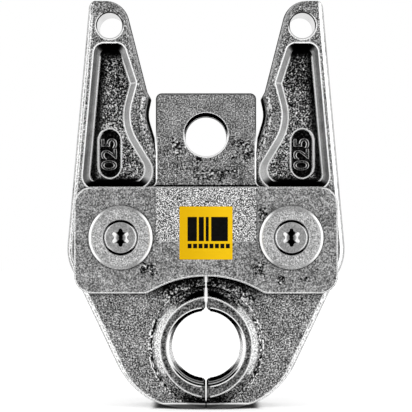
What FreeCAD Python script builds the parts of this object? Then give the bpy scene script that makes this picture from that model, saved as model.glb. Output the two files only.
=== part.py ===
"""Press fitting tool jaw: two forged jaws that swing on pins between two link plates.

Units are millimetres. X points right, Y points away from the viewer, Z points up.
The origin is on the floor under the middle of the jaw, which stands on its two tips.
Each jaw and each link plate is the same on its front and rear side, and the right
half of the tool mirrors the left half, so most shapes are made once and mirrored.
"""
import FreeCAD, Part
import math
import os

from FreeCAD import Vector

# Main layout
pivot_half_spacing = 28.1
pivot_height = 56.8
tool_bolt_height = 90.7
die_height = 20.4
jaw_thickness = 23.0
parting_half_gap = 0.2

# Jaw outline where the two forging dies met: arm tip and straight sides
arm_tip_height = 136.5
arm_tip_outer = 39.34
arm_tip_outer_radius = 2.4
arm_tip_inner = 27.64
arm_tip_inner_radius = 8.2
arm_outer_angle = 5.15
arm_inner_angle = 14.24
shoulder_radius = 16.0
lower_side_angle = 25.44
nose_start = 23.46
nose_radius = 24.0
ground_off = 0.05

# Cam track that the tool's rollers press apart, its heights taken from the tool bolt
cam_root_above_bolt = 14.9
cam_root_radius = 1.0
cam_nose_above_bolt = 12.3
cam_nose_reach = 18.4
cam_nose_radius = 1.2
cam_hollow_above_bolt = 6.9
cam_hollow_reach = 19.6
cam_hollow_radius = 10.0
cam_foot_below_bolt = 0.7
cam_foot_radius = 2.0

# Inner side under the cam, cleared for the tool bolt and for the other jaw
bolt_relief_reach = 17.3
bolt_relief_below_bolt = 12.9
bolt_relief_radius = 12.0
heel_above_pivot = 0.2
heel_corner_radius = 1.5

# Forging draft and rounded edge of the jaw sides
jaw_draft = 1.0
jaw_edge_radius = 1.1
jaw_edge_steps = 2

# Pocket in the arm, its rim set back from the arm's sides
pocket_depth = 4.5
pocket_wall_run = 2.0
pocket_below_tip = 15.0
pocket_outer_land = 3.5
pocket_top_inner_land = 3.6
pocket_top_radius = 4.0
pocket_kink_land = 2.65
pocket_kink_radius = 1.0
pocket_waist_above_bolt = 4.3
pocket_waist_behind_cam = 7.0
pocket_waist_radius = 15.0
pocket_under_plate = 0.8
pocket_foot_inside_relief = 4.0
pocket_foot_inner_radius = 6.7
pocket_foot_outer_radius = 5.0

# Oval recess for the size mark in the pocket floor
mark_recess_outside_pivot = 4.1
mark_recess_above_pivot = 28.0
mark_recess_width = 7.6
mark_recess_length = 16.6
mark_recess_end = 4.2
mark_recess_depth = 1.0

# Hole through the arm tip
arm_hole_offset = 32.1
arm_hole_below_tip = 9.2
arm_hole_bore = 8.4
arm_hole_chamfer = 0.4

# Raised ring round the die bore
ring_height = 4.0
ring_radius = 16.7
ring_slope_run = 3.8
ring_centre_past_parting = 1.4

# Die bore: a middle ridge, a groove each side of it, an outer land and a flared rim
die_ridge_radius = 11.45
die_ridge_half_width = 3.2
die_groove_radius = 12.9
die_groove_start = 5.0
die_groove_end = 9.9
die_land_radius = 12.3
die_land_start = 10.5
die_land_end = 13.2
die_rim_radius = 13.0
die_notch_depth = 2.2
die_notch_half_width = 1.4

# Link plates: a lug for the tool bolt over a wider and thicker part for the pivots
plate_side_clearance = 0.2
lug_thickness = 4.8
plate_step = 2.0
lug_half_width = 16.6
lug_above_bolt = 13.8
lug_corner_radius = 2.0
lug_root_radius = 2.0
plate_end_land = 15.5
plate_above_pivot = 16.8
plate_corner_radius = 6.0
plate_edge_chamfer = 0.35
arch_over_ring = 3.1
arch_rise = 5.7
arch_radius = 35.5
arch_end_flare = 0.31
arch_end_radius = 3.0
tool_bolt_bore = 14.0
tool_bolt_chamfer = 0.4

# Pivot pins
pin_diameter = 16.0
pin_running_clearance = 0.05
pin_end_play = 0.05
pin_chamfer = 0.5

# Retaining discs on the pin ends
disc_diameter = 21.0
disc_thickness = 3.5
disc_chamfer = 1.2
disc_recess_depth = 2.5
disc_recess_chamfer = 0.25

# Retaining screws and the tapped holes that they enter
screw_head_diameter = 10.7
screw_head_clearance = 0.45
screw_head_height = 2.4
screw_head_chamfer = 0.3
screw_thread_diameter = 6.0
screw_hole_clearance = 0.2
screw_length = 16.0
tapped_hole_clearance = 0.05
tapped_hole_spare_depth = 2.0
socket_tip_diameter = 6.0
socket_valley_diameter = 4.2
socket_depth = 2.2
socket_lobes = 6

# Return spring and its blind pockets in the jaws
spring_above_pivot = 12.2
spring_seat_gap = 5.0
spring_seat_land = 1.0
spring_pocket_depth = 9.0
spring_outer_diameter = 8.0
spring_side_clearance = 0.5
spring_end_clearance = 0.05
spring_wire_thickness = 1.0
spring_wire_width = 1.6
spring_turns = 7

# How far a cutter runs past the surface that it opens
past_surface = 1.0
smallest_corner_radius = 0.2

# Depths of the main faces, measured from the middle of the tool
jaw_face = jaw_thickness / 2
ring_face = jaw_face + ring_height
plate_inner_face = jaw_face + plate_side_clearance
lug_face = plate_inner_face + lug_thickness
plate_face = lug_face + plate_step
pin_end = plate_face + pin_end_play
disc_face = pin_end + disc_thickness
disc_recess_floor = disc_face - disc_recess_depth

# Heights and reaches that follow from the sizes above
arm_hole_height = arm_tip_height - arm_hole_below_tip
pocket_top_height = arm_tip_height - pocket_below_tip
pocket_waist_height = tool_bolt_height + pocket_waist_above_bolt
pocket_kink_height = (pocket_waist_height + pocket_top_height) / 2
cam_root_height = tool_bolt_height + cam_root_above_bolt
lug_top_height = tool_bolt_height + lug_above_bolt
plate_half_width = pivot_half_spacing + plate_end_land
plate_top_height = pivot_height + plate_above_pivot
pocket_foot_height = plate_top_height - pocket_under_plate
arch_top_height = die_height + ring_radius + ring_slope_run + arch_over_ring
plate_bottom_height = arch_top_height - arch_rise
spring_height = pivot_height + spring_above_pivot
spring_pocket_radius = spring_outer_diameter / 2 + spring_side_clearance
spring_pocket_end = spring_seat_gap + spring_pocket_depth


def mirrored(shape, normal):
    """Copy of a shape mirrored in the plane through the origin with this normal."""
    return shape.mirror(Vector(0, 0, 0), normal)


def disc_shape(radius, start, end, x, z):
    """Round bar along Y between two depths."""
    return Part.makeCylinder(radius, end - start, Vector(x, start, z), Vector(0, 1, 0))


def cone_shape(start_radius, end_radius, start, end, x, z):
    """Round taper along Y between two depths."""
    return Part.makeCone(start_radius, end_radius, end - start, Vector(x, start, z), Vector(0, 1, 0))


def corner_arc(before, corner, after, radius):
    """Start, middle and end of the arc that rounds a corner."""
    to_before = (before - corner).normalize()
    to_after = (after - corner).normalize()
    half_angle = to_before.getAngle(to_after) / 2
    bisector = (to_before + to_after).normalize()
    tangent_length = radius / math.tan(half_angle)
    middle_distance = radius / math.sin(half_angle) - radius
    start = corner + to_before * tangent_length
    middle = corner + bisector * middle_distance
    end = corner + to_after * tangent_length
    return start, middle, end


def rounded_wire(corners, depth):
    """Closed outline at one depth through corners given as x, z and radius."""
    points = [Vector(corner[0], depth, corner[1]) for corner in corners]
    arcs = []
    for index, corner in enumerate(corners):
        point = points[index]
        if corner[2] > 0:
            after = points[(index + 1) % len(points)]
            arcs.append(corner_arc(points[index - 1], point, after, corner[2]))
        else:
            arcs.append((point, point, point))
    edges = []
    for index, (start, middle, end) in enumerate(arcs):
        if corners[index][2] > 0:
            edges.append(Part.Arc(start, middle, end).toShape())
        next_start = arcs[(index + 1) % len(arcs)][0]
        edges.append(Part.makeLine(end, next_start))
    return Part.Wire(edges)


def inset_corners(corners, distance):
    """Corners moved inwards; a fourth value is the share for the edge that leaves a corner.

    The outline runs anticlockwise seen from the front, so inwards is to the left.
    """
    moved = []
    for index, corner in enumerate(corners):
        before = corners[index - 1]
        after = corners[(index + 1) % len(corners)]
        normals = []
        for first, second in ((before, corner), (corner, after)):
            length = math.hypot(second[0] - first[0], second[1] - first[1])
            normals.append(((first[1] - second[1]) / length, (second[0] - first[0]) / length))
        shift_before = distance * before[3]
        shift_after = distance * corner[3]
        turn = normals[0][0] * normals[1][1] - normals[0][1] * normals[1][0]
        shift_x = (shift_before * normals[1][1] - shift_after * normals[0][1]) / turn
        shift_z = (normals[0][0] * shift_after - normals[1][0] * shift_before) / turn
        radius = corner[2]
        if radius > 0:
            loss = math.copysign((shift_before + shift_after) / 2, turn)
            radius = max(radius - loss, smallest_corner_radius)
        moved.append((corner[0] + shift_x, corner[1] + shift_z, radius, corner[3]))
    return moved


def prism(corners, start, end):
    """Solid with a rounded outline between two depths."""
    face = Part.Face(rounded_wire(corners, start))
    return face.extrude(Vector(0, end - start, 0))


def tapered(first_corners, first_depth, second_corners, second_depth):
    """Solid whose sides run straight from one outline to the other."""
    wires = [rounded_wire(first_corners, first_depth), rounded_wire(second_corners, second_depth)]
    return Part.makeLoft(wires, True, True)


def turned(profile, x, z):
    """Solid turned about a Y axis from corners given as radius and depth."""
    points = [Vector(x + radius, depth, z) for radius, depth in profile]
    wire = Part.makePolygon(points + points[:1])
    return Part.Face(wire).revolve(Vector(x, 0, z), Vector(0, 1, 0), 360)


def arm_outer_reach(height):
    """Distance of the arm's straight outer side from the middle at one height."""
    return arm_tip_outer + (arm_tip_height - height) * math.tan(math.radians(arm_outer_angle))


def arm_inner_reach(height):
    """Distance of the arm's straight inner side from the middle at one height."""
    return arm_tip_inner - (arm_tip_height - height) * math.tan(math.radians(arm_inner_angle))


def jaw_corners():
    """Left jaw outline, from the foot of the parting plane up and round."""
    lower_slope = math.tan(math.radians(lower_side_angle))
    outer_slope = math.tan(math.radians(arm_outer_angle))
    shoulder_height = (arm_outer_reach(0) - nose_start) / (outer_slope + lower_slope)
    seat_low = spring_height - spring_pocket_radius - spring_seat_land
    seat_high = spring_height + spring_pocket_radius + spring_seat_land
    parting = parting_half_gap - ground_off
    return [
        (-parting, -ground_off, 0, 0),
        (-parting, pivot_height + heel_above_pivot, heel_corner_radius, 0),
        (-spring_seat_gap, seat_low, heel_corner_radius, 0),
        (-spring_seat_gap, seat_high, heel_corner_radius, 0),
        (-bolt_relief_reach, tool_bolt_height - bolt_relief_below_bolt, bolt_relief_radius, 0),
        (-bolt_relief_reach, tool_bolt_height - cam_foot_below_bolt, cam_foot_radius, 1),
        (-cam_hollow_reach, tool_bolt_height + cam_hollow_above_bolt, cam_hollow_radius, 1),
        (-cam_nose_reach, tool_bolt_height + cam_nose_above_bolt, cam_nose_radius, 1),
        (-arm_inner_reach(cam_root_height), cam_root_height, cam_root_radius, 1),
        (-arm_tip_inner, arm_tip_height, arm_tip_inner_radius, 1),
        (-arm_tip_outer, arm_tip_height, arm_tip_outer_radius, 1),
        (-arm_outer_reach(shoulder_height), shoulder_height, shoulder_radius, 1),
        (ground_off * lower_slope - nose_start, -ground_off, nose_radius, 0),
    ]


def pocket_corners():
    """Rim of the left arm's pocket on the jaw face."""
    foot_inner = bolt_relief_reach - pocket_foot_inside_relief
    waist = cam_hollow_reach + pocket_waist_behind_cam
    kink = arm_inner_reach(pocket_kink_height) + pocket_kink_land
    top_inner = arm_inner_reach(pocket_top_height) + pocket_top_inner_land
    top_outer = arm_outer_reach(pocket_top_height) - pocket_outer_land
    foot_outer = arm_outer_reach(pocket_foot_height) - pocket_outer_land
    return [
        (-foot_inner, pocket_foot_height, pocket_foot_inner_radius, 1),
        (-waist, pocket_waist_height, pocket_waist_radius, 1),
        (-kink, pocket_kink_height, pocket_kink_radius, 1),
        (-top_inner, pocket_top_height, pocket_top_radius, 1),
        (-top_outer, pocket_top_height, pocket_top_radius, 1),
        (-foot_outer, pocket_foot_height, pocket_foot_outer_radius, 1),
    ]


def mark_recess_cutter(start, end):
    """Oval recess for the size mark: straight sides between two half ellipses."""
    x = -pivot_half_spacing - mark_recess_outside_pivot
    z = pivot_height + mark_recess_above_pivot
    half_width = mark_recess_width / 2
    straight = mark_recess_length / 2 - mark_recess_end
    low = z - straight
    cutter = Part.makeBox(mark_recess_width, end - start, 2 * straight, Vector(x - half_width, start, low))
    for height in (z - straight, z + straight):
        middle = Vector(x, start, height)
        tip = middle + Vector(0, 0, mark_recess_end)
        side = middle + Vector(half_width, 0, 0)
        oval = Part.Face(Part.Wire(Part.Ellipse(tip, side, middle).toShape()))
        cutter = cutter.fuse(oval.extrude(Vector(0, end - start, 0)))
    return cutter.removeSplitter()


def pocket_cutter():
    """Tapered pocket with the oval recess in its floor, on the front face."""
    rim = pocket_corners()
    floor = jaw_face - pocket_depth
    outside = inset_corners(rim, -past_surface * pocket_wall_run / pocket_depth)
    pocket = tapered(outside, -jaw_face - past_surface, inset_corners(rim, pocket_wall_run), -floor)
    return pocket.fuse(mark_recess_cutter(-floor - past_surface, -floor + mark_recess_depth))


def drafted_body(corners):
    """Front half of a forging: drafted sides that round over on to the face in steps."""
    wires = [rounded_wire(corners, 0)]
    for step in range(jaw_edge_steps + 1):
        turn = math.pi / 2 * step / jaw_edge_steps
        depth = jaw_face - jaw_edge_radius * (1 - math.sin(turn))
        inset = jaw_draft * depth / jaw_face + jaw_edge_radius * (1 - math.cos(turn))
        wires.append(rounded_wire(inset_corners(corners, inset), -depth))
    return Part.makeLoft(wires, True, True)


def half_jaw():
    """Front half of the left jaw, before its bores."""
    corners = jaw_corners()
    face_corners = inset_corners(corners, jaw_draft + jaw_edge_radius)
    body = drafted_body(corners).cut(pocket_cutter())
    ring_x = ring_centre_past_parting
    ring = cone_shape(ring_radius, ring_radius + ring_slope_run, -ring_face, -jaw_face, ring_x, die_height)
    ring = ring.common(prism(face_corners, -ring_face, -jaw_face))
    return body.fuse(ring)


def die_profile():
    """Bore of the die as radius and depth, from the rear mouth to the front mouth."""
    half = [
        (die_ridge_radius, die_ridge_half_width),
        (die_groove_radius, die_groove_start),
        (die_groove_radius, die_groove_end),
        (die_land_radius, die_land_start),
        (die_land_radius, die_land_end),
        (die_rim_radius, ring_face),
        (die_rim_radius, ring_face + past_surface),
    ]
    front = [(radius, -depth) for radius, depth in reversed(half)]
    return [(0, -ring_face - past_surface)] + front + half + [(0, ring_face + past_surface)]


def die_notch(direction):
    """V notch where the two die halves meet, above or below the bore."""
    apex = die_height + direction * (die_ridge_radius + die_notch_depth)
    base = die_height + direction * (die_ridge_radius - die_notch_depth)
    depth = -ring_face - past_surface
    points = [
        Vector(0, depth, apex),
        Vector(-2 * die_notch_half_width, depth, base),
        Vector(2 * die_notch_half_width, depth, base),
    ]
    face = Part.Face(Part.makePolygon(points + points[:1]))
    return face.extrude(Vector(0, 2 * (ring_face + past_surface), 0))


def bore_with_chamfers(radius, chamfer, face_depth, x, z):
    """Cutter for a hole along Y whose two mouths are chamfered."""
    reach = face_depth + past_surface
    cutter = disc_shape(radius, -reach, reach, x, z)
    wide = radius + chamfer + past_surface
    narrow = face_depth - chamfer
    cutter = cutter.fuse(cone_shape(wide, radius, -reach, -narrow, x, z))
    return cutter.fuse(cone_shape(radius, wide, narrow, reach, x, z))


def grinding_cutter():
    """Metal ground off the forging's tip and off its parting face."""
    reach = arm_tip_height + 2 * past_surface
    below = Part.makeBox(reach, 2 * jaw_thickness, past_surface, Vector(-reach, -jaw_thickness, -past_surface))
    corner = Vector(-parting_half_gap, -jaw_thickness, -past_surface)
    return below.fuse(Part.makeBox(past_surface, 2 * jaw_thickness, reach, corner))


def left_jaw():
    """Forged jaw with arm, cam, pocket and half of the die."""
    front = half_jaw()
    jaw = front.fuse(mirrored(front, Vector(0, 1, 0))).cut(grinding_cutter())
    jaw = jaw.cut(turned(die_profile(), 0, die_height))
    jaw = jaw.cut(die_notch(1)).cut(die_notch(-1))
    pin_bore = pin_diameter / 2 + pin_running_clearance
    jaw = jaw.cut(disc_shape(pin_bore, -jaw_thickness, jaw_thickness, -pivot_half_spacing, pivot_height))
    arm_bore = arm_hole_bore / 2
    arm_hole = bore_with_chamfers(arm_bore, arm_hole_chamfer, jaw_face, -arm_hole_offset, arm_hole_height)
    jaw = jaw.cut(arm_hole)
    pocket_end = Vector(-spring_pocket_end, 0, spring_height)
    spring_pocket = Part.makeCylinder(
        spring_pocket_radius, spring_pocket_depth + past_surface, pocket_end, Vector(1, 0, 0)
    )
    return jaw.cut(spring_pocket).removeSplitter()


def arch_corners():
    """Arch over the die ring: a round top that flares a little at its ends, from left to right."""
    below_centre = arch_radius - arch_rise
    half_chord = math.sqrt(arch_radius ** 2 - below_centre ** 2) + arch_end_flare
    reach = math.hypot(half_chord, below_centre)
    slope = math.asin(arch_radius / reach) - math.atan2(below_centre, half_chord)
    peak = plate_bottom_height + half_chord * math.tan(slope)
    return [
        (-half_chord, plate_bottom_height, arch_end_radius, 1),
        (0, peak, arch_radius, 1),
        (half_chord, plate_bottom_height, arch_end_radius, 1),
    ]


def plate_corners(middle):
    """Wide part of the link plate, with these corners between its two top corners."""
    right = [
        (plate_half_width, plate_bottom_height, plate_corner_radius, 1),
        (plate_half_width, plate_top_height, plate_corner_radius, 1),
    ]
    left = [
        (-plate_half_width, plate_top_height, plate_corner_radius, 1),
        (-plate_half_width, plate_bottom_height, plate_corner_radius, 1),
    ]
    return right + middle + left + arch_corners()


def lug_corners():
    """Lug of the link plate, from its right root to its left root."""
    return [
        (lug_half_width, plate_top_height, lug_root_radius, 1),
        (lug_half_width, lug_top_height, lug_corner_radius, 1),
        (-lug_half_width, lug_top_height, lug_corner_radius, 1),
        (-lug_half_width, plate_top_height, lug_root_radius, 1),
    ]


def edge_broken_prism(corners, outer):
    """Plate layer on the front side, up to a depth, with its outer edge broken."""
    body = prism(corners, -outer + plate_edge_chamfer, -plate_inner_face)
    inset = inset_corners(corners, plate_edge_chamfer)
    return body.fuse(tapered(corners, -outer + plate_edge_chamfer, inset, -outer))


def front_plate():
    """T-shaped link plate: thin lug for the tool bolt over a thicker wide part."""
    thin_layer = edge_broken_prism(plate_corners(lug_corners()), lug_face)
    plate = thin_layer.fuse(edge_broken_prism(plate_corners([]), plate_face))
    bolt_bore = tool_bolt_bore / 2
    plate = plate.cut(bore_with_chamfers(bolt_bore, tool_bolt_chamfer, lug_face, 0, tool_bolt_height))
    pin_bore = pin_diameter / 2 + pin_running_clearance
    for x in (-pivot_half_spacing, pivot_half_spacing):
        plate = plate.cut(disc_shape(pin_bore, -plate_face - past_surface, 0, x, pivot_height))
    return plate.removeSplitter()


def left_pivot_pin():
    """Pivot pin with a tapped hole in each end."""
    x = -pivot_half_spacing
    radius = pin_diameter / 2
    pin = turned(
        [
            (0, -pin_end),
            (radius - pin_chamfer, -pin_end),
            (radius, -pin_end + pin_chamfer),
            (radius, pin_end - pin_chamfer),
            (radius - pin_chamfer, pin_end),
            (0, pin_end),
        ],
        x,
        pivot_height,
    )
    hole_depth = screw_length - (disc_recess_floor - pin_end) + tapped_hole_spare_depth
    hole_radius = screw_thread_diameter / 2 + tapped_hole_clearance
    pin = pin.cut(disc_shape(hole_radius, -pin_end - past_surface, -pin_end + hole_depth, x, pivot_height))
    return pin.cut(disc_shape(hole_radius, pin_end - hole_depth, pin_end + past_surface, x, pivot_height))


def front_left_disc():
    """Retaining disc with a bevelled edge and a recess for the screw head."""
    radius = disc_diameter / 2
    recess = screw_head_diameter / 2 + screw_head_clearance
    hole = screw_thread_diameter / 2 + screw_hole_clearance
    return turned(
        [
            (hole, -pin_end),
            (radius, -pin_end),
            (radius, -disc_face + disc_chamfer),
            (radius - disc_chamfer, -disc_face),
            (recess + disc_recess_chamfer, -disc_face),
            (recess, -disc_face + disc_recess_chamfer),
            (recess, -disc_recess_floor),
            (hole, -disc_recess_floor),
        ],
        -pivot_half_spacing,
        pivot_height,
    )


def socket_cutter(x, z, mouth):
    """Lobed driver socket from arcs through its lobe tips and its valleys."""
    tip = socket_tip_diameter / 2
    valley = socket_valley_diameter / 2
    joint = (tip + valley) / 2
    quarter_lobe = math.pi / socket_lobes / 2
    edges = []
    for lobe in range(socket_lobes):
        points = []
        for quarter, radius in enumerate((joint, tip, joint, valley, joint)):
            angle = (4 * lobe + quarter - 1) * quarter_lobe
            points.append(Vector(x + radius * math.sin(angle), mouth, z + radius * math.cos(angle)))
        edges.append(Part.Arc(points[0], points[1], points[2]).toShape())
        edges.append(Part.Arc(points[2], points[3], points[4]).toShape())
    return Part.Face(Part.Wire(edges)).extrude(Vector(0, socket_depth + past_surface, 0))


def front_left_screw():
    """Low head screw with a lobed socket."""
    top = disc_recess_floor + screw_head_height
    head = screw_head_diameter / 2
    thread = screw_thread_diameter / 2
    screw = turned(
        [
            (0, -top),
            (head - screw_head_chamfer, -top),
            (head, -top + screw_head_chamfer),
            (head, -disc_recess_floor),
            (thread, -disc_recess_floor),
            (thread, -disc_recess_floor + screw_length),
            (0, -disc_recess_floor + screw_length),
        ],
        -pivot_half_spacing,
        pivot_height,
    )
    return screw.cut(socket_cutter(-pivot_half_spacing, pivot_height, -top - past_surface))


def return_spring():
    """Crosswise compression spring of flat wire with ground ends, seated in both jaws."""
    half_length = spring_pocket_end - spring_end_clearance
    outer = spring_outer_diameter / 2
    inner = outer - spring_wire_thickness
    helix = Part.makeHelix(2 * half_length / spring_turns, 2 * half_length, (outer + inner) / 2)
    half_width = spring_wire_width / 2
    section = [
        Vector(inner, 0, -half_width),
        Vector(outer, 0, -half_width),
        Vector(outer, 0, half_width),
        Vector(inner, 0, half_width),
    ]
    start = Part.makePolygon(section + section[:1])
    coil = Part.Wire(helix.Edges).makePipeShell([start], True, True)
    ground = Part.makeCylinder(spring_outer_diameter, 2 * half_length)
    spring = coil.common(ground)
    spring.translate(Vector(0, 0, -half_length))
    spring.rotate(Vector(0, 0, 0), Vector(0, 1, 0), 90)
    spring.translate(Vector(0, 0, spring_height))
    return spring


def build():
    """Every sub-part by the name of its file."""
    to_rear = Vector(0, 1, 0)
    to_right = Vector(1, 0, 0)
    parts = {"left_jaw": left_jaw()}
    parts["right_jaw"] = mirrored(parts["left_jaw"], to_right)
    parts["front_link_plate"] = front_plate()
    parts["rear_link_plate"] = mirrored(parts["front_link_plate"], to_rear)
    parts["left_pivot_pin"] = left_pivot_pin()
    parts["right_pivot_pin"] = mirrored(parts["left_pivot_pin"], to_right)
    for piece, shape in (("retaining_disc", front_left_disc()), ("retaining_screw", front_left_screw())):
        parts["front_left_" + piece] = shape
        parts["front_right_" + piece] = mirrored(shape, to_right)
        parts["rear_left_" + piece] = mirrored(shape, to_rear)
        parts["rear_right_" + piece] = mirrored(mirrored(shape, to_right), to_rear)
    parts["return_spring"] = return_spring()
    return parts


os.makedirs("parts", exist_ok=True)
for name, shape in build().items():
    shape.exportStep("parts/" + name + ".step")
    print(name, "valid", shape.isValid(), "solids", len(shape.Solids), "volume", round(shape.Volume, 1))
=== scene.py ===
"""Press fitting tool jaw on a pale floor: finishes, size marks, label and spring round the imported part.

Named lengths are millimetres, and are turned into metres where a mesh, a lamp or the camera is made. X
points right, Y points away from the camera, Z points up, and the origin is on the floor under the
middle of the tool. A tone runs on the eye's own scale, from black 0 to white 1.
"""
import math
from types import SimpleNamespace

import bmesh
import bpy
from mathutils import Matrix, Vector


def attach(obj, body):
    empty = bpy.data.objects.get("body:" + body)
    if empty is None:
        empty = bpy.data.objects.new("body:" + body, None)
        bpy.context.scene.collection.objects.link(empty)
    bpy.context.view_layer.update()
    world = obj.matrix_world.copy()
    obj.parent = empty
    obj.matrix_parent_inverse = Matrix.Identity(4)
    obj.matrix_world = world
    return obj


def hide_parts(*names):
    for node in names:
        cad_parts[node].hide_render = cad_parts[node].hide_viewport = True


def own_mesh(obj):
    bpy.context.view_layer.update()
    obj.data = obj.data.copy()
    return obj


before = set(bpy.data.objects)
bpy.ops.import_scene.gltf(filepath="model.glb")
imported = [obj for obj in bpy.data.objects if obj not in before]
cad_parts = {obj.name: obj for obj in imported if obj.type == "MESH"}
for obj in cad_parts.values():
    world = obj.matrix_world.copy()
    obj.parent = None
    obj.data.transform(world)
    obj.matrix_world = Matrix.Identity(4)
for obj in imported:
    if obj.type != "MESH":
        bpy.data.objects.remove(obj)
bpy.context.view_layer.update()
MM = 0.001


# Forged jaws
# Two drop forged steel levers, shot blasted all over, with a lightening pocket in each arm and
# half of the round die at the tip. The die ring, the bores and the tips are machined afterwards.
class Reading:
    """Number that changes over a surface: a length, a tone, or a mask that is empty at 0 and full at 1."""

    def __init__(self, tree, socket):
        self.tree = tree
        self.socket = socket

    def work_out(self, operation, other=0.0, clamp=False):
        """Reading that a Math node makes of this one and another one, or a number."""
        values = {0: self, 1: other}
        return read_node(self.tree, "ShaderNodeMath", 0, values, operation=operation, use_clamp=clamp)

    def __add__(self, other):
        return self.work_out("ADD", other)

    def __sub__(self, other):
        return self.work_out("SUBTRACT", other)

    def __rsub__(self, number):
        return read_node(self.tree, "ShaderNodeMath", 0, {0: number, 1: self}, operation="SUBTRACT")

    def __mul__(self, other):
        return self.work_out("MULTIPLY", other)

    def __truediv__(self, other):
        return self.work_out("DIVIDE", other)

    def __and__(self, other):
        """Mask that is full only where both masks are."""
        return self.work_out("MULTIPLY", other)

    def __or__(self, other):
        """Mask that is full where either mask is."""
        return self.work_out("MAXIMUM", other)

    def __invert__(self):
        """Mask that is full where this one is empty."""
        return 1.0 - self

    def rise(self, low, high):
        """Mask that goes smoothly from empty at low to full at high. Low may be the larger number."""
        rising = low < high
        values = {
            "Value": self,
            "From Min": min(low, high),
            "From Max": max(low, high),
            "To Min": 0.0 if rising else 1.0,
            "To Max": 1.0 if rising else 0.0,
        }
        return read_node(self.tree, "ShaderNodeMapRange", "Result", values, interpolation_type="SMOOTHSTEP")

    def between(self, low, high, soft):
        """Mask that is full between two numbers, with soft ends."""
        return self.rise(low - soft, low + soft) & self.rise(high + soft, high - soft)


def add_node(tree, kind, values=None, **settings):
    """Node of one kind with its settings, and its inputs linked to readings or set to values."""
    node = tree.nodes.new(kind)
    for key, value in settings.items():
        setattr(node, key, value)
    for key, value in (values or {}).items():
        if isinstance(value, Reading):
            tree.links.new(value.socket, node.inputs[key])
        else:
            node.inputs[key].default_value = value
    return node


def read_node(tree, kind, output, values=None, **settings):
    """Reading from one output of a new node."""
    return Reading(tree, add_node(tree, kind, values, **settings).outputs[output])


def mix(mask, empty, full):
    """One tone or number where a mask is empty and another where it is full."""
    return read_node(mask.tree, "ShaderNodeMix", 0, {0: mask, 2: empty, 3: full}, data_type="FLOAT")


def grained(tone, grain, fine, slow=0.0):
    """Tone with the blasted grain and the slow mottle laid over it."""
    return grain.fine * fine + grain.slow * slow + tone


def separate(reading):
    """Readings of the three parts of a vector."""
    node = add_node(reading.tree, "ShaderNodeSeparateXYZ", {0: reading})
    return [Reading(reading.tree, part) for part in node.outputs]


def worded(label):
    """Socket's label from a value's name."""
    return label.replace("_", " ").capitalize()


def node_group(name, **inputs):
    """Empty shader group and the readings of its inputs, which are given with their usual values."""
    group = bpy.data.node_groups.new(name, "ShaderNodeTree")
    for label, value in inputs.items():
        socket = group.interface.new_socket(
            name=worded(label), in_out="INPUT", socket_type="NodeSocketFloat"
        )
        socket.default_value = value
    sockets = group.nodes.new("NodeGroupInput").outputs
    return group, SimpleNamespace(**{label: Reading(group, sockets[worded(label)]) for label in inputs})


def put_out(group, **readings):
    """The group, with these readings as its outputs."""
    for label in readings:
        group.interface.new_socket(name=worded(label), in_out="OUTPUT", socket_type="NodeSocketFloat")
    sockets = group.nodes.new("NodeGroupOutput").inputs
    for label, reading in readings.items():
        group.links.new(reading.socket, sockets[worded(label)])
    return group


def make_blasted_grain():
    """Relief that shot blasting leaves, as a fine grain and a slow mottle, each about -1 to 1."""
    group, given = node_group("blasted grain", grain_per_metre=2000.0)
    place = read_node(group, "ShaderNodeTexCoord", "Object")
    reliefs = {}
    for label, scale, detail, spread in (
        ("fine", given.grain_per_metre, 1.5, 7.0),
        ("slow", 230.0, 3.0, 5.0),
    ):
        values = {"Vector": place, "Scale": scale, "Detail": detail, "Roughness": 0.6}
        reliefs[label] = (read_node(group, "ShaderNodeTexNoise", "Fac", values) - 0.5) * spread
    return put_out(group, **reliefs)


def make_edge_light():
    """Mask of the painted highlight and worn metal along the edges, how far each edge turns, and if it falls
    off inwards.
    """
    group, given = node_group("edge light", radius=0.5 * MM, gain=6.0)
    rounded = read_node(group, "ShaderNodeBevel", 0, {"Radius": given.radius}, samples=8)
    flat = read_node(group, "ShaderNodeNewGeometry", "Normal")
    pair = {0: rounded, 1: flat}
    turned = ~read_node(group, "ShaderNodeVectorMath", "Value", pair, operation="DOT_PRODUCT")
    lean = read_node(group, "ShaderNodeVectorMath", "Vector", pair, operation="SUBTRACT")
    to_tool = {"convert_from": "WORLD", "convert_to": "OBJECT"}
    lean = read_node(group, "ShaderNodeVectorTransform", "Vector", {0: lean}, **to_tool)
    side = separate(read_node(group, "ShaderNodeTexCoord", "Object"))[0].work_out("SIGN")
    return put_out(
        group,
        mask=turned.work_out("MULTIPLY", given.gain, clamp=True),
        turned=turned,
        inward=side * separate(lean)[0] * -1.0,
    )


def make_hollow_shade():
    """Mask of painted shade in corners and hollows, from how open each point is."""
    group, given = node_group("hollow shade", reach=6 * MM, open=0.8, shut=0.4)
    openness = read_node(group, "ShaderNodeAmbientOcclusion", "AO", {"Distance": given.reach}, samples=8)
    limits = {"From Min": given.shut, "From Max": given.open, "To Min": 1.0, "To Max": 0.0}
    values = {"Value": openness, **limits}
    mask = read_node(group, "ShaderNodeMapRange", "Result", values, interpolation_type="SMOOTHSTEP")
    return put_out(group, mask=mask)


def make_surface_facts():
    """Where a point of the tool lies, and how its surface is turned, alike on all four quarters."""
    group = node_group("surface facts")[0]
    x, y, z = (part * (1 / MM) for part in separate(read_node(group, "ShaderNodeTexCoord", "Object")))
    turn_x, turn_y, turn_z = separate(read_node(group, "ShaderNodeTexCoord", "Normal"))
    return put_out(
        group,
        depth=y.work_out("ABSOLUTE"),
        across=x.work_out("ABSOLUTE"),
        height=z,
        side=x,
        facing=turn_y.work_out("ABSOLUTE"),
        outward=x.work_out("SIGN") * turn_x,
        upward=turn_z,
    )


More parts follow.
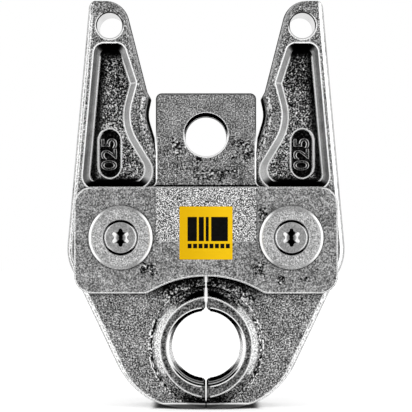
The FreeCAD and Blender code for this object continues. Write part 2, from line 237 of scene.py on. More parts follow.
def make_round_place():
    """Distance of a point from an axis that runs front to back, and how far it lies to the side of it."""
    group, given = node_group("round place", across=0.0, height=0.0, axis_across=0.0, axis_height=0.0)
    sideways = given.across - given.axis_across
    upwards = given.height - given.axis_height
    radius = (sideways * sideways + upwards * upwards).work_out("SQRT")
    return put_out(group, radius=radius, sideways=sideways.work_out("ABSOLUTE") / radius)


blasted_grain = make_blasted_grain()
edge_light = make_edge_light()
hollow_shade = make_hollow_shade()
surface_facts = make_surface_facts()
round_place = make_round_place()


class Finish:
    """Material with plain values on its shader, and readings of the surface for what varies."""

    def __init__(self, name, roughness, metallic=1.0, specular=0.0):
        self.material = bpy.data.materials.new(name)
        self.material.use_nodes = True
        self.tree = self.material.node_tree
        self.inputs = self.tree.nodes["Principled BSDF"].inputs
        self.inputs["Roughness"].default_value = roughness
        self.inputs["Metallic"].default_value = metallic
        self.inputs["Specular IOR Level"].default_value = specular

    def read(self, kind, output, values=None, **settings):
        """Reading from one output of a new node in this material."""
        return read_node(self.tree, kind, output, values, **settings)

    def place(self, group, **values):
        """Readings that a shader group puts out, placed here with its own values."""
        labelled = {worded(label): value for label, value in values.items()}
        outputs = add_node(self.tree, "ShaderNodeGroup", labelled, node_tree=group).outputs
        return SimpleNamespace(**{output.name.lower(): Reading(self.tree, output) for output in outputs})

    def place_round(self, facts, axis_across, axis_height):
        """Readings of a point's place round an axis that runs front to back."""
        place = {"across": facts.across, "height": facts.height}
        return self.place(round_place, **place, axis_across=axis_across, axis_height=axis_height)

    def link(self, reading, socket):
        """Let a reading drive one socket of the shader."""
        self.tree.links.new(reading.socket, self.inputs[socket])

    def coat(self, tone, relief=None, strength=0.0, distance=0.0):
        """Let a tone and a relief drive the shader's colour and its bumps."""
        colour = tone.work_out("MAXIMUM", BLACK).work_out("POWER", EYE_POWER, clamp=True)
        self.link(colour, "Base Color")
        if relief is not None:
            values = {"Strength": strength, "Distance": distance * MM, "Height": relief}
            self.link(self.read("ShaderNodeBump", "Normal", values), "Normal")


def dress(names, finish):
    """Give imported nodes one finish."""
    for name in names:
        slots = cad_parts[name].data.materials
        slots.clear()
        slots.append(finish.material)


BLACK = 0.02
WHITE = 1.0
EYE_POWER = 2.2
JAW_GRAIN = 2100.0
COARSE_GRAIN = 1600.0
TORN_GRAIN = 1100.0
JAW_FACE = 11.5
ARM_MIDDLE = 31.5
CAM_TOP = 103.0
ARM_TIP = 136.5
POCKET_FLOOR = 7.0
POCKET_FOOT = 76.0
POCKET_TOP = 119.0
POCKET_SIDE = 38.0
POCKET_LEAN = 0.062
OVAL_FLOOR = 6.0
ARM_HOLE_RIM = 4.6
ARM_HOLE_ACROSS = 32.1
ARM_HOLE_HEIGHT = 127.3
DIE_HEIGHT = 20.4
DIE_BORE = 13.0
DIE_LAND = 12.3
DIE_RING = 16.7
DIE_RING_ACROSS = -1.4
DIE_RING_RISE = 4.0
DIE_CONE = 20.5
SHADE_SIDE = 20.0
SHADE_TOP = 50.0

forged_steel = Finish("forged steel", roughness=0.45)
facts = forged_steel.place(surface_facts)
grain = forged_steel.place(blasted_grain, grain_per_metre=JAW_GRAIN)
coarse = forged_steel.place(blasted_grain, grain_per_metre=COARSE_GRAIN)
torn_grain = forged_steel.place(blasted_grain, grain_per_metre=TORN_GRAIN)
lit_and_worn_edges = forged_steel.place(edge_light, radius=0.85 * MM)
corner = forged_steel.place(hollow_shade, reach=2.6 * MM, open=0.8, shut=0.45).mask
die = forged_steel.place_round(facts, 0.0, DIE_HEIGHT)
ring = forged_steel.place_round(facts, DIE_RING_ACROSS, DIE_HEIGHT)
over_die = forged_steel.place_round(facts, 0.0, DIE_HEIGHT + 3.5)
arm_hole = forged_steel.place_round(facts, ARM_HOLE_ACROSS, ARM_HOLE_HEIGHT)

# The face, the flanks and the rounded band between them, and a torn line along the cam. The outward band
# and flanks, and the low band that faces down, are painted light, with a painted highlight line along the
# band on the right jaw, and the inward flanks are painted dark as shade.
flat = facts.facing.rise(0.95, 0.985)
rounded = facts.facing.rise(0.985, 0.95) & facts.facing.rise(0.2, 0.3)
flank = facts.facing.rise(0.3, 0.2)
low_side = facts.height.rise(22, 14) & facts.upward.rise(-0.1, -0.3)
outward = facts.outward.rise(0.0, 0.15) | low_side
inward = facts.outward.rise(0.0, -0.15) & ~low_side
beside_pocket = facts.height.rise(74, 78) & facts.across.rise(34, 31)
tone = grained(mix(beside_pocket, 0.465, 0.40), grain, fine=0.31, slow=0.08)
band_line = facts.facing.rise(0.72, 0.8) & facts.side.rise(-1, 1)
band_tone = mix(band_line, grained(0.47, grain, fine=0.32), grained(0.93, grain, fine=0.1))
band_tone = mix(facts.height.rise(48, 42), band_tone, grained(0.72, coarse, fine=0.46))
tone = mix(rounded & outward, tone, band_tone)
inner_band_tone = mix(facts.height.rise(CAM_TOP - 2, CAM_TOP + 2), 0.58, 0.45)
tone = mix(rounded & inward, tone, grained(inner_band_tone, coarse, fine=0.24))
tone = mix(flank & outward, tone, grained(0.66, grain, fine=0.22))
on_cam = facts.height.between(74, CAM_TOP + 0.5, 0.5) & facts.across.rise(ARM_MIDDLE, ARM_MIDDLE - 0.5)
seam = facts.depth.rise(3.5, 1.5) | on_cam & facts.depth.rise(8.6, 7.8)
inner_flank_tone = mix(seam, grained(0.60, coarse, fine=0.3), grained(0.10, grain, fine=0.06))
tone = mix(flank & inward, tone, inner_flank_tone)
near_cam = forged_steel.place(edge_light, radius=2.4 * MM)
torn_line = (
    on_cam
    & facts.facing.rise(0.8, 0.9)
    & facts.depth.rise(JAW_FACE - 1.0, JAW_FACE - 0.5)
    & near_cam.inward.rise(0.0, 0.02)
    & near_cam.turned.between(0.006, 0.07, 0.003)
)
tone = mix(torn_line, tone, grained(0.78, coarse, fine=1.4))

# The pocket: a speckled floor with painted shade that deepens towards its top and goes black along its
# outer side, foot and top, and smooth walls painted as light and shade
floor_tone = grained(mix(facts.height.rise(POCKET_TOP, 88), 0.17, 0.37), grain, fine=0.46, slow=0.08)
from_side = POCKET_SIDE - (facts.across + (facts.height - POCKET_FOOT) * POCKET_LEAN)
shaded_side = from_side.rise(3.0, 0.5) * 0.8
shaded_foot = facts.height.rise(POCKET_FOOT + 1.5, POCKET_FOOT - 0.4)
shaded_top = facts.height.rise(POCKET_TOP - 3.5, POCKET_TOP)
floor_tone = mix(shaded_side | shaded_foot | shaded_top, floor_tone, 0.03)
on_floor = flat & facts.depth.rise(POCKET_FLOOR + 0.5, POCKET_FLOOR + 0.2)
tone = mix(on_floor, tone, floor_tone)
in_oval = flat & facts.depth.rise(OVAL_FLOOR + 0.5, OVAL_FLOOR + 0.2)
tone = mix(in_oval, tone, grained(0.06, grain, fine=0.10))
# The walls of the sunk oval are painted black as shade.
oval_wall = (
    flank
    & facts.depth.rise(POCKET_FLOOR + 0.1, POCKET_FLOOR - 0.1)
    & facts.height.between(75, 94, 0.5)
    & facts.across.between(28, 36.2, 0.2)
    & from_side.rise(1.2, 1.6)
)
tone = mix(oval_wall, tone, BLACK)
wall = facts.facing.between(0.3, 0.6, 0.05) & facts.height.between(POCKET_FOOT - 6, POCKET_TOP + 5, 0.5)
outer_wall = wall & facts.outward.rise(-0.1, -0.3) & facts.across.rise(ARM_MIDDLE, ARM_MIDDLE + 1)
inner_wall = wall & facts.outward.rise(0.1, 0.3) & facts.across.rise(ARM_MIDDLE + 3, ARM_MIDDLE + 2)
end_wall = facts.upward.work_out("ABSOLUTE").rise(0.45, 0.88)
foot_wall = facts.upward.rise(0.35, 0.75) & facts.height.rise(POCKET_FOOT + 3, POCKET_FOOT)
# Painted light on the walls: the inner wall, which faces outwards, is lighter than the outer one, the outer
# wall lightens towards the floor and the inner wall towards the foot.
outer_wall_tone = mix(facts.depth.rise(POCKET_FLOOR + 2.6, POCKET_FLOOR + 0.6), 0.42, 0.62)
tone = mix(outer_wall, tone, grained(outer_wall_tone, grain, fine=0.06, slow=0.05))
inner_wall_tone = mix(facts.height.rise(100, 88), 0.60, 0.70)
tone = mix(inner_wall, tone, grained(inner_wall_tone, grain, fine=0.05, slow=0.05))
# Walls that face up or down are painted black as shade.
tone = mix(wall & (end_wall | foot_wall), tone, BLACK)

# The die: a cone painted light at its sides and shaded at its top and foot, with a painted glint, up to a
# turned ring, and a bore painted as light and shade: black above, white at its middle height, and dark
# with light lands at its foot
off_face = facts.depth.rise(JAW_FACE + 0.02, JAW_FACE + 0.1)
on_cone = off_face & facts.facing.between(0.6, 0.8, 0.05) & ring.radius.rise(DIE_CONE + 1.5, DIE_CONE + 1.0)
cone_top_tone = mix(die.sideways.rise(0.3, 0.6), 0.16, 0.52)
cone_foot_tone = mix(die.sideways.rise(0.2, 0.5), 0.04, 0.40)
above_die = facts.height.rise(DIE_HEIGHT - 4, DIE_HEIGHT + 4)
cone_tone = grained(mix(above_die, cone_foot_tone, cone_top_tone), coarse, fine=0.34)
glint = over_die.sideways.rise(0.68, 0.8) & ring.radius.rise(DIE_RING + 2.4, DIE_RING + 1.5)
cone_tone = mix(glint, cone_tone, grained(0.86, grain, fine=0.3))
tone = mix(on_cone, tone, cone_tone)
on_ring = flat & off_face & ring.radius.rise(DIE_RING + 0.1, DIE_RING - 0.1)
tone = mix(on_ring, tone, grained(0.33, coarse, fine=0.18, slow=0.04))
under_ring = facts.depth.rise(JAW_FACE + DIE_RING_RISE - 0.1, JAW_FACE + DIE_RING_RISE - 0.3)
in_bore = die.radius.rise(DIE_BORE + 0.2, DIE_BORE) & under_ring
bore_top = facts.height.rise(DIE_HEIGHT + 3, DIE_HEIGHT + 8)
bore_foot = facts.height.rise(DIE_HEIGHT - 6, DIE_HEIGHT - 9)
on_land = die.radius.between(DIE_LAND - 0.15, DIE_LAND + 0.15, 0.03)
on_step = flat & die.radius.between(DIE_LAND - 0.4, DIE_LAND + 0.4, 0.1)
bore_tone = mix(bore_foot, WHITE, mix(on_land | on_step, 0.03, 0.72))
tone = mix(in_bore, tone, mix(bore_top, bore_tone, BLACK))

# The arm holes: bright walls, painted a little darker as shade where they face down, and a chamfer with
# painted shade above and painted light below
in_arm_hole = arm_hole.radius.rise(ARM_HOLE_RIM + 0.3, ARM_HOLE_RIM + 0.2) & facts.facing.rise(0.97, 0.9)
hole_tone = mix(facts.upward.rise(-0.9, -0.4), 0.55, 0.68)
chamfer_tone = mix(facts.upward.rise(-0.1, 0.3), 0.12, 0.72)
tone = mix(in_arm_hole, tone, mix(facts.facing.rise(0.3, 0.5), hole_tone, chamfer_tone))

# Torn metal round the foot of the cone
torn_foot = ~on_ring & (flat | on_cone) & die.sideways.rise(0.4, 0.55) & facts.height.rise(31.5, 29)
torn_foot = torn_foot & ~facts.depth.rise(POCKET_FLOOR + 1, POCKET_FLOOR)
cone_hollow = ring.radius.between(DIE_CONE - 1.2, DIE_CONE - 0.35, 0.1)
cone_rim = ring.radius.between(DIE_CONE - 0.2, DIE_CONE + 0.2, 0.1)
tone = mix(torn_foot & cone_hollow, tone, grained(0.30, torn_grain, fine=0.7))
tone = mix(torn_foot & cone_rim, tone, grained(0.68, coarse, fine=1.1))

# Painted shade in the face's corners below the pocket top and under the arch of the plates
face = flat & ~(on_floor | on_ring)
tone = mix(corner & face & facts.height.rise(POCKET_TOP - 1, POCKET_TOP - 3), tone, 0.04)
under_arch = (
    (on_cone | face)
    & facts.across.rise(SHADE_SIDE, SHADE_SIDE - 8)
    & facts.height.rise(33, 38)
    & facts.height.rise(SHADE_TOP + 10, SHADE_TOP)
)
arch_shade = forged_steel.place(hollow_shade, reach=5.5 * MM, open=0.84, shut=0.6).mask
shade_width = mix(die.sideways.rise(0.1, 0.6), 2.4, 0.9)
beyond_shade = ring.radius - DIE_RING - shade_width
ring_shade = on_cone & beyond_shade.rise(0.5, -0.5) & die.sideways.rise(0.75, 0.6)
arch_tone = mix(arch_shade | ring_shade, grained(0.3, coarse, fine=0.65), BLACK)
tone = mix(under_arch, tone, arch_tone)

# Painted highlight and worn metal on the edges: clean and bright, but torn along the cam and round the foot
# of the cone
below_face = facts.depth.rise(JAW_FACE - 0.3, JAW_FACE - 0.8)
pocket_top = facts.height.between(POCKET_TOP - 1.5, POCKET_TOP + 4, 0.5) & below_face
pocket_foot = facts.height.between(POCKET_FOOT - 6, POCKET_FOOT - 0.5, 0.3) & below_face
near_face = facts.depth.rise(JAW_FACE + 1, JAW_FACE + 0.5)
cone_foot = ring.radius.between(DIE_CONE - 1, DIE_CONE + 1, 0.1) & near_face
hidden_foot = cone_foot & (under_arch | die.sideways.rise(0.35, 0.2) | torn_foot)
inner_side = (
    (lit_and_worn_edges.inward.rise(0.0, 0.02) | rounded & inward | flank & inward)
    & facts.across.rise(ARM_MIDDLE, ARM_MIDDLE - 0.5)
    & facts.height.rise(60, 62)
    & ~inner_wall
)
cam_side = inner_side & facts.height.rise(CAM_TOP, CAM_TOP - 2)
tip_side = (
    (inner_side | facts.height.rise(ARM_TIP - 6.5, ARM_TIP - 4.5))
    & facts.height.rise(CAM_TOP - 2, CAM_TOP)
    & facts.outward.rise(0.5, 0.3)
)
no_edge = pocket_top | pocket_foot | in_arm_hole | in_bore | hidden_foot | tip_side
torn_tone = grained(0.55, torn_grain, fine=1.3)
edge_tone = mix(cam_side | cone_foot, grained(WHITE, grain, fine=0.03), torn_tone)
near_oval = (
    facts.depth.rise(JAW_FACE - 4, JAW_FACE - 4.6) & from_side.rise(2.2, 2.6) & facts.across.rise(27.8, 28.4)
)
least_turn = mix(near_oval, mix(off_face, 0.0, 0.012), 0.06)
on_parting = facts.across.rise(1.6, 1.2) & facts.height.rise(36, 35)
edge = (lit_and_worn_edges.turned - least_turn).work_out("MULTIPLY", 90.0, clamp=True) & ~(no_edge | on_parting)
tone = mix(edge, tone, edge_tone)
# A painted highlight line along the bottom edge, and under it a painted contact shadow that is darkest in
# the middle
foot_line = facts.height.rise(1.8, 1.6)
contact_shadow_tone = mix(facts.across.rise(9, 22), 0.34, 0.85)
tone = mix(foot_line, tone, mix(facts.height.rise(1.3, 1.0), WHITE, contact_shadow_tone))
forged_steel.coat(tone, grain.fine * ~(in_bore | in_arm_hole), strength=0.4, distance=0.06)
hole_side = in_arm_hole & flank
smooth = outer_wall | inner_wall | in_arm_hole | in_bore
metal = facts.facing.rise(0.6, 0.8) & ~(edge | smooth | foot_line)
forged_steel.link(metal | in_bore & ~(bore_top | bore_foot) | hole_side, "Metallic")
forged_steel.link(mix(in_bore | hole_side, 0.45, 0.12), "Roughness")
dress(("left_jaw", "right_jaw"), forged_steel)


# Size marks
# Raised size numbers forged into the sunk oval of each pocket, on both faces of both jaws. They read
# upwards along the arm, and their tops stand a little under the pocket floor.
MARK_ACROSS = 32.2
MARK_HEIGHT = 84.6
MARK_DEPTH = 6.3
MARK_TEXT_SIZE = 7.0
MARK_STRETCH = 1.08
MARK_ROUNDING = 0.3
MARK_EDGE = 0.05
MARK_SHRINK = 0.12
mark_steel = Finish("raised mark steel", roughness=0.45)
facts = mark_steel.place(surface_facts)
grain = mark_steel.place(blasted_grain, grain_per_metre=JAW_GRAIN)
# The digits' sides are painted white where they face sideways and black where they face up or down, as
# painted light and shade.
top_face = facts.facing.rise(0.8, 0.95)
sideways = facts.upward.work_out("ABSOLUTE").rise(0.7, 0.4)
mark_steel.coat(mix(top_face, mix(sideways, 0.04, WHITE), grained(0.20, grain, fine=0.2)))
mark_steel.link(top_face, "Metallic")


def new_piece(name, mesh, finish, body):
    """Object for a finished mesh that rides on a body and takes its finish from a slot."""
    mesh.materials.clear()
    mesh.materials.append(finish.material)
    piece = bpy.data.objects.new(name, mesh)
    bpy.context.scene.collection.objects.link(piece)
    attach(piece, body)
    return piece


def size_number_mesh():
    """Raised digits as one mesh, flat on the XY plane and centred on the origin."""
    letters = bpy.data.curves.new("size number", "FONT")
    letters.body = "025"
    letters.size = MARK_TEXT_SIZE * MM
    letters.align_x = "CENTER"
    letters.align_y = "CENTER"
    letters.offset = -MARK_SHRINK * MM
    letters.extrude = MARK_EDGE * MM
    letters.bevel_depth = MARK_ROUNDING * MM
    letters.bevel_resolution = 1
    letters.resolution_u = 6
    holder = bpy.data.objects.new("size number", letters)
    bpy.context.scene.collection.objects.link(holder)
    bpy.context.view_layer.update()
    ready = holder.evaluated_get(bpy.context.evaluated_depsgraph_get())
    mesh = bpy.data.meshes.new_from_object(ready)
    bpy.data.objects.remove(holder)
    return mesh


number_mesh = size_number_mesh()
stretch = Matrix.Diagonal((MARK_STRETCH, 1, 1, 1))
upright = Matrix.Rotation(math.radians(90), 4, "X")
reading_up = Matrix.Rotation(math.radians(-90), 4, "Y")
for jaw, side in (("left_jaw", -1), ("right_jaw", 1)):
    for face_name, face_side, turn in (("front", 1, 0), ("rear", -1, 180)):
        across = side * face_side * MARK_ACROSS * MM
        place = Matrix.Translation((across, -MARK_DEPTH * MM, MARK_HEIGHT * MM))
        mesh = number_mesh.copy()
        mesh.transform(stretch)
        mesh.transform(Matrix.Rotation(math.radians(turn), 4, "Z") @ place @ reading_up @ upright)
        new_piece(f"{jaw}_{face_name}_size_mark", mesh, mark_steel, jaw)
bpy.data.meshes.remove(number_mesh)


# Link plates
# Two steel plates that hold both pivot pins and carry the tool's bolt in the lug between the arms.
# They are shot blasted like the jaws and ground bright in the middle, beside and above the label.
# Scale and pits are left on them here and there, and the patches below the discs also stand for the discs'
# painted shadow.
def make_scale_and_shadow_patch():
    """Mask of a ragged patch round one place, for scale and pits and for painted shadow below the discs."""
    centre = {"centre_across": 0.0, "centre_height": 0.0, "half_width": 1.0, "half_height": 1.0}
    group, given = node_group("scale and shadow patch", side=0.0, height=0.0, **centre)
    wide = (given.side - given.centre_across) / given.half_width
    high = (given.height - given.centre_height) / given.half_height
    distance = (wide * wide + high * high).work_out("SQRT")
    place = read_node(group, "ShaderNodeTexCoord", "Object")
    values = {"Vector": place, "Scale": 420.0, "Detail": 4.0, "Roughness": 0.65}
    ragged = read_node(group, "ShaderNodeTexNoise", "Fac", values)
    return put_out(group, mask=(distance + (ragged - 0.5) * 3.5).rise(1.0, 0.5))


scale_and_shadow_patch = make_scale_and_shadow_patch()
PLATE_GRAIN = 2300.0
GROUND_GRAIN = 2800.0
PLATE_INNER_FACE = 11.7
LUG_HALF_WIDTH = 16.6
LUG_FACE = 16.5
PLATE_TOP = 73.6
GROUND_FOOT = 55.6
TOOL_BOLT_HEIGHT = 90.7
TOOL_BOLT_RIM = 7.4

# Each patch of scale and pits, the two at height 46.7 also painted shadow below a disc: how far right of
# the middle, height, half width, half height
SCALE_AND_SHADOW_PATCHES = (
    (-9.0, 87.0, 3.0, 3.0),
    (-2.6, 82.2, 2.6, 1.6),
    (1.4, 77.6, 8.0, 2.6),
    (11.2, 87.6, 4.6, 2.4),
    (14.0, 85.0, 2.4, 3.0),
    (9.1, 83.4, 0.9, 0.9),
    (9.6, 78.0, 3.0, 2.0),
    (-18.9, 46.7, 4.2, 2.4),
    (19.0, 64.2, 1.9, 3.0),
    (17.4, 46.7, 2.6, 3.4),
    (24.3, 42.8, 2.0, 1.6),
    (32.5, 43.4, 2.0, 1.4),
)
plate_steel = Finish("plate steel", roughness=0.45)
facts = plate_steel.place(surface_facts)
grain = plate_steel.place(blasted_grain, grain_per_metre=PLATE_GRAIN)
ground_grain = plate_steel.place(blasted_grain, grain_per_metre=GROUND_GRAIN)
torn_grain = plate_steel.place(blasted_grain, grain_per_metre=COARSE_GRAIN)
edge = plate_steel.place(edge_light, radius=0.42 * MM, gain=60.0).mask
corner = plate_steel.place(hollow_shade, reach=1.6 * MM, open=0.75, shut=0.45).mask
bolt_bore = plate_steel.place_round(facts, 0.0, TOOL_BOLT_HEIGHT)

# The wide part, the lug and the ground patch
flat = facts.facing.rise(0.8, 0.95)
on_plate = flat & facts.depth.rise(LUG_FACE + 0.5, LUG_FACE + 1.0)
on_lug = flat & facts.height.rise(PLATE_TOP - 0.1, PLATE_TOP + 0.1)
# The lug is painted a little darker towards its foot, as shade above the step, and is more speckled there.
lug_top_tone = grained(0.465, grain, fine=0.25, slow=0.08)
lug_foot_tone = grained(grained(0.435, grain, fine=0.26, slow=0.10), torn_grain, fine=0.12)
lug_tone = mix(facts.height.rise(92, 84), lug_top_tone, lug_foot_tone)
tone = mix(on_lug, grained(0.505, grain, fine=0.19, slow=0.06), lug_tone)
below_lug = facts.across.rise(LUG_HALF_WIDTH + 0.1, LUG_HALF_WIDTH - 0.1)
over_ground_foot = facts.height.rise(GROUND_FOOT - 0.1, GROUND_FOOT + 0.1)
ground_patch = on_plate & below_lug & over_ground_foot
tone = mix(ground_patch, tone, grained(0.555, ground_grain, fine=0.58, slow=0.04))
patch_side = on_plate & facts.across.between(LUG_HALF_WIDTH, LUG_HALF_WIDTH + 0.3, 0.1) & over_ground_foot
tone = mix(patch_side * 0.6, tone, 0.3)
patch_foot = on_plate & facts.height.between(GROUND_FOOT - 0.3, GROUND_FOOT, 0.1) & below_lug
tone = mix(patch_foot * 0.5, tone, 0.8)
scale_and_shadow_tone = grained(0.30, torn_grain, fine=0.42)
for centre_across, centre_height, half_width, half_height in SCALE_AND_SHADOW_PATCHES:
    patch = plate_steel.place(
        scale_and_shadow_patch,
        side=facts.side,
        height=facts.height,
        centre_across=centre_across,
        centre_height=centre_height,
        half_width=half_width,
        half_height=half_height,
    )
    tone = mix(patch.mask & flat, tone, scale_and_shadow_tone)

# Painted shade in the corners, weaker above the pins; painted light on the sides of the lug and painted
# shade on its head, on the plates' inner faces round the bore, and in a line at its foot; a painted
# highlight on the edges, shaded along the top; and the bolt bore painted black where it faces down and
# light where it faces up
above_pins = on_plate & facts.height.rise(54, 62)
tone = mix(corner * mix(above_pins, 1.0, 0.4), tone, 0.06)
outside_rim = bolt_bore.radius.rise(TOOL_BOLT_RIM + 1.6, TOOL_BOLT_RIM + 2.1)
lug_head = facts.height.rise(86, 94) & outside_rim
by_face = facts.depth.rise(LUG_FACE - 0.9, LUG_FACE - 0.7)
lug_side = ~flat & facts.outward.rise(0.3, 0.6) & facts.height.rise(PLATE_TOP, PLATE_TOP + 0.5)
tone = mix(lug_side & outside_rim & by_face, tone, WHITE)
tone = mix(lug_head & ~flat & by_face, tone, 0.22)
round_bore = bolt_bore.radius.rise(TOOL_BOLT_RIM + 3.6, TOOL_BOLT_RIM + 2.1)
inner_face = flat & facts.depth.rise(PLATE_INNER_FACE + 0.9, PLATE_INNER_FACE + 0.5)
tone = mix(inner_face & round_bore, tone, 0.03)
lug_foot = on_lug & facts.height.rise(PLATE_TOP + 0.75, PLATE_TOP + 0.35)
tone = mix(lug_foot, tone, BLACK)
top_edge = facts.height.between(PLATE_TOP - 0.4, PLATE_TOP + 2.4, 0.1) | lug_head
top_edge_tone = mix(lug_head, grained(0.6, grain, fine=0.2), 0.3)
edge_tone = mix(top_edge, grained(0.98, grain, fine=0.05), top_edge_tone)
tone = mix(edge & ~lug_foot, tone, edge_tone)
in_bolt_bore = bolt_bore.radius.rise(TOOL_BOLT_RIM + 0.3, TOOL_BOLT_RIM + 0.1) & facts.facing.rise(0.95, 0.9)
tone = mix(in_bolt_bore, tone, mix(facts.upward.rise(-0.3, 0.1), BLACK, 0.9))
plate_steel.coat(tone, grain.fine, strength=0.35, distance=0.06)
plate_steel.link(facts.facing.rise(0.6, 0.8) & ~edge, "Metallic")
dress(("front_link_plate", "rear_link_plate"), plate_steel)


# Label
# A square yellow self-adhesive label, printed with plain black bars. It is stuck on the middle of
# the front plate, between the two retaining discs.
LABEL_SIDE = 17.5
LABEL_THICKNESS = 0.1
LABEL_ROUNDING = 0.25
LABEL_HEIGHT = 58.3
PLATE_FACE = 18.5
LEFT_YELLOW = (0.68, 0.40, 0.0, 1)
RIGHT_YELLOW = (0.81, 0.50, 0.004, 1)
PRINT_THICKNESS = 0.02
BAR_HEIGHT = 59.6
BAR_LENGTH = 8.0
BAR_ROUNDING = 0.15
DASH_HEIGHT = 54.0
DASH_SIZE = (1.3, PRINT_THICKNESS, 1.5)
DASH_STEP = 1.8
DASH_COUNT = 8
FIRST_DASH = -5.4

# Each bar: where it starts, from the label's middle, and its width
BARS = ((-6.1, 3.1), (-2.4, 1.7), (-0.1, 1.0), (1.7, 5.5))
label_yellow = Finish("label yellow", roughness=0.6, metallic=0.0, specular=0.08)
place = label_yellow.read("ShaderNodeTexCoord", "Object")
fade = (separate(place)[0] * (1 / MM)).rise(-LABEL_SIDE / 2, LABEL_SIDE / 2)
shades = {0: fade, 6: LEFT_YELLOW, 7: RIGHT_YELLOW}
label_yellow.link(label_yellow.read("ShaderNodeMix", 2, shades, data_type="RGBA"), "Base Color")
mottle = label_yellow.read("ShaderNodeTexNoise", "Fac", {"Vector": place, "Scale": 900.0, "Detail": 2.0})
label_yellow.link(mottle * 0.2 + 0.5, "Roughness")
label_black = Finish("label black", roughness=0.6, metallic=0.0, specular=0.02)
place = label_black.read("ShaderNodeTexCoord", "Object")
ink = label_black.read("ShaderNodeTexNoise", "Fac", {"Vector": place, "Scale": 1200.0, "Detail": 2.0})
label_black.link(ink * 0.007, "Base Color")


def flat_block(shape, centre, size, rounding=0.0):
    """Add a thin block to a bmesh and round its corners that run front to back."""
    made = bmesh.ops.create_cube(shape, size=1.0)["verts"]
    bmesh.ops.scale(shape, vec=size, verts=made)
    bmesh.ops.translate(shape, vec=centre, verts=made)
    if rounding:
        corners = [
            edge
            for edge in {edge for vertex in made for edge in vertex.link_edges}
            if abs(edge.verts[0].co.y - edge.verts[1].co.y) > size[1] / 2
        ]
        bmesh.ops.bevel(
            shape, geom=corners, offset=rounding, segments=4, profile=0.5, affect="EDGES", material=-1
        )


def finished_mesh(name, shape):
    """Mesh in metres of a bmesh in millimetres, with its normals turned outwards."""
    bmesh.ops.scale(shape, vec=(MM, MM, MM), verts=shape.verts)
    bmesh.ops.recalc_face_normals(shape, faces=shape.faces)
    mesh = bpy.data.meshes.new(name)
    shape.to_mesh(mesh)
    shape.free()
    return mesh


shape = bmesh.new()
label_centre = (0, -PLATE_FACE - LABEL_THICKNESS / 2, LABEL_HEIGHT)
flat_block(shape, label_centre, (LABEL_SIDE, LABEL_THICKNESS, LABEL_SIDE), LABEL_ROUNDING)
new_piece("label", finished_mesh("label", shape), label_yellow, "link_frame")
shape = bmesh.new()
print_depth = -PLATE_FACE - LABEL_THICKNESS - PRINT_THICKNESS / 2
for left, width in BARS:
    bar_centre = (left + width / 2, print_depth, BAR_HEIGHT)
    flat_block(shape, bar_centre, (width, PRINT_THICKNESS, BAR_LENGTH), BAR_ROUNDING)
for index in range(DASH_COUNT):
    flat_block(shape, (FIRST_DASH + DASH_STEP * index, print_depth, DASH_HEIGHT), DASH_SIZE)
new_piece("label_print", finished_mesh("label print", shape), label_black, "link_frame")


# Retaining discs
# Turned steel discs cover the pin ends and keep the plates on. Each has a bevelled rim, and a recess
# for the head of the screw that holds it.
PIVOT_ACROSS = 28.1
PIVOT_HEIGHT = 56.8
DISC_FACE = 22.05
DISC_RECESS = 5.8
TURNING_PITCH = 0.7
disc_steel = Finish("disc steel", roughness=0.35)
facts = disc_steel.place(surface_facts)
grain = disc_steel.place(blasted_grain, grain_per_metre=PLATE_GRAIN)
edge = disc_steel.place(edge_light, radius=0.3 * MM, gain=20.0).mask
corner = disc_steel.place(hollow_shade, reach=1.5 * MM, open=0.7, shut=0.45).mask
disc = disc_steel.place_round(facts, PIVOT_ACROSS, PIVOT_HEIGHT)
turning = (disc.radius * (2 * math.pi / TURNING_PITCH)).work_out("SINE")
flat = facts.facing.rise(0.9, 0.97)
bevel_light = disc.sideways.rise(0.45, 0.8) & disc.radius.rise(9.5, 10.0) & facts.facing.rise(0.15, 0.3)
bevel_tone = mix(bevel_light, grained(0.66, grain, fine=0.1), WHITE)
tone = mix(flat, bevel_tone, grained(0.64, grain, fine=0.17, slow=0.04) + turning * 0.02)
# Painted shade in the corner round the disc, a painted highlight on the rim of the recess, and the recess
# painted light at its sides and black as shade above and below.
tone = mix(corner, tone, 0.05)
tone = mix(edge & flat & disc.radius.rise(7.5, 7.0), tone, 0.9)
below_disc_face = facts.depth.rise(DISC_FACE - 0.3, DISC_FACE - 0.5)
in_recess = disc.radius.rise(DISC_RECESS + 0.2, DISC_RECESS + 0.1) & below_disc_face
tone = mix(in_recess, tone, mix(disc.sideways.rise(0.75, 0.9), BLACK, 0.75))
disc_steel.coat(tone, turning * 0.3 + grain.fine, strength=0.15, distance=0.05)
disc_steel.link(~(bevel_light & ~flat | in_recess), "Metallic")
dress([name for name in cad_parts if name.endswith("disc")], disc_steel)


# Retaining screws
# One low head steel screw with a six-lobed socket holds each disc to its pin. Its head sits in the
# recess of the disc.
SCREW_HEAD = 5.35
screw_steel = Finish("screw steel", roughness=0.35)
facts = screw_steel.place(surface_facts)
grain = screw_steel.place(blasted_grain, grain_per_metre=PLATE_GRAIN)
edge = screw_steel.place(edge_light, radius=0.5 * MM, gain=60.0).mask
screw = screw_steel.place_round(facts, PIVOT_ACROSS, PIVOT_HEIGHT)
flat = facts.facing.rise(0.9, 0.97)
sunk = facts.depth.rise(DISC_FACE - 0.4, DISC_FACE - 0.8)
